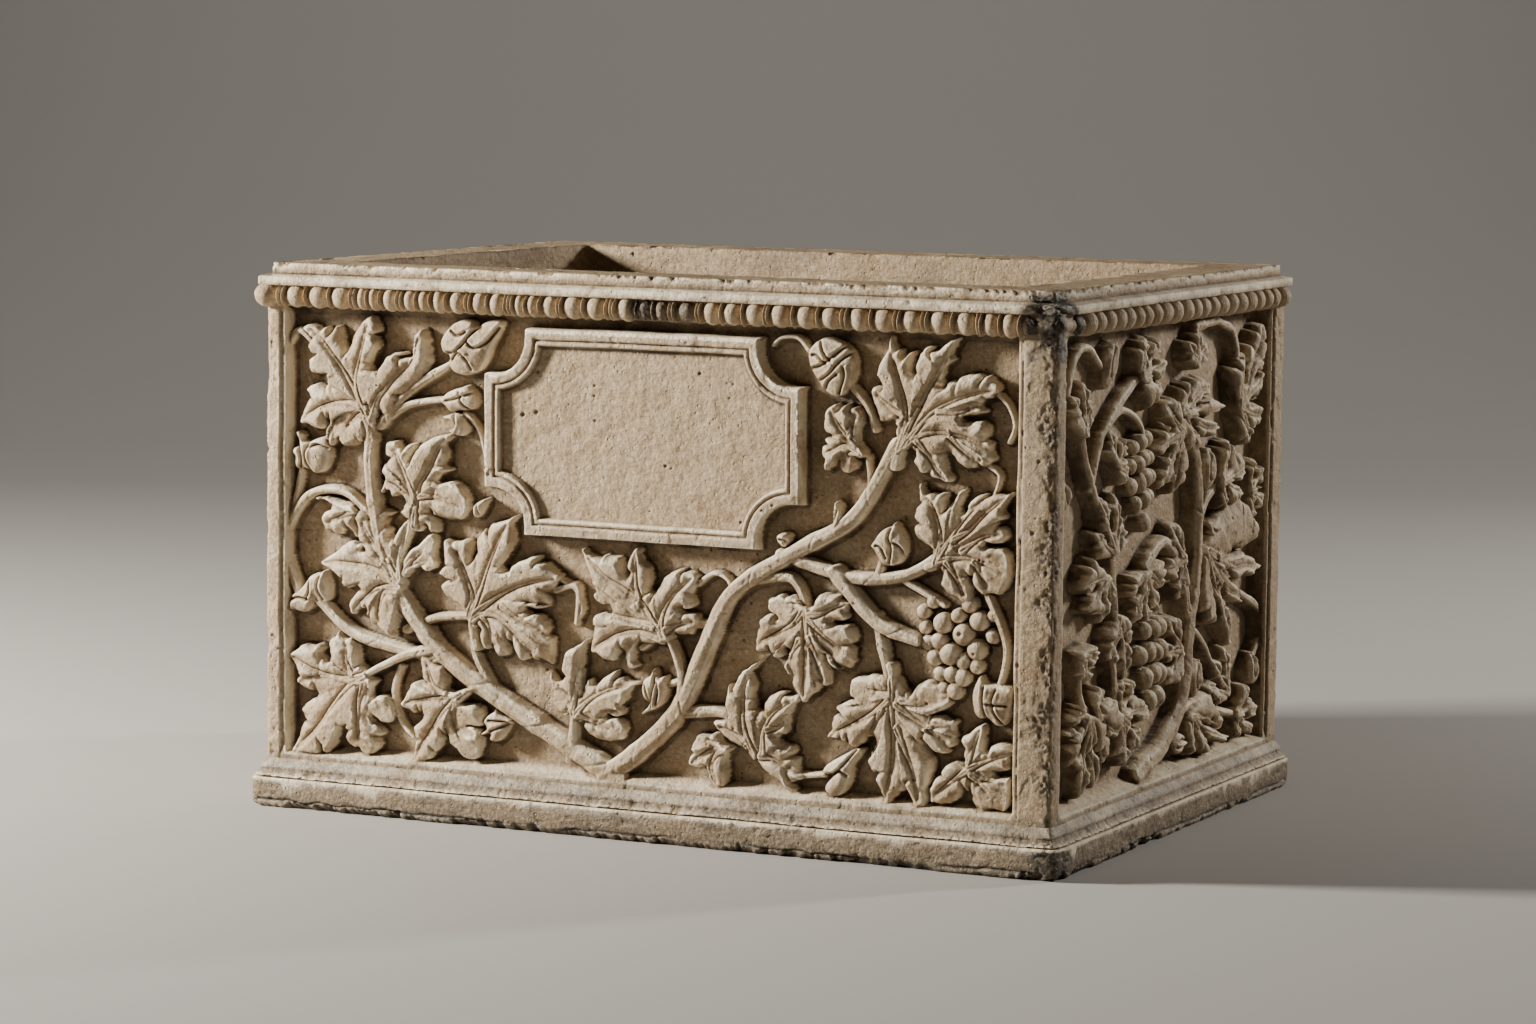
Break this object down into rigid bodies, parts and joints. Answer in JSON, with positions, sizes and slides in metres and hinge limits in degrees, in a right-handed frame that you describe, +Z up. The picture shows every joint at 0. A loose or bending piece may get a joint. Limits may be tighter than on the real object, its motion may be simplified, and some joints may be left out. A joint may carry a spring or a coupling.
{
  "type": "stone cinerary urn",
  "caption": "Open rectangular marble ash chest carved in relief with a grape vine, a blank framed tablet, a bead-and-reel rim and a moulded plinth.",
  "frame": {"origin": "middle of the underside, on the surface that the chest stands on", "axes": "+X to the right along the carved front with the tablet, +Y from the front to the back, +Z up"},
  "size_m": [0.46, 0.338, 0.286],
  "materials": {
    "marble": "weathered, matt"
  },
  "bodies": {
    "root": {"ash_chest": "marble"}
  },
  "joints": []
}
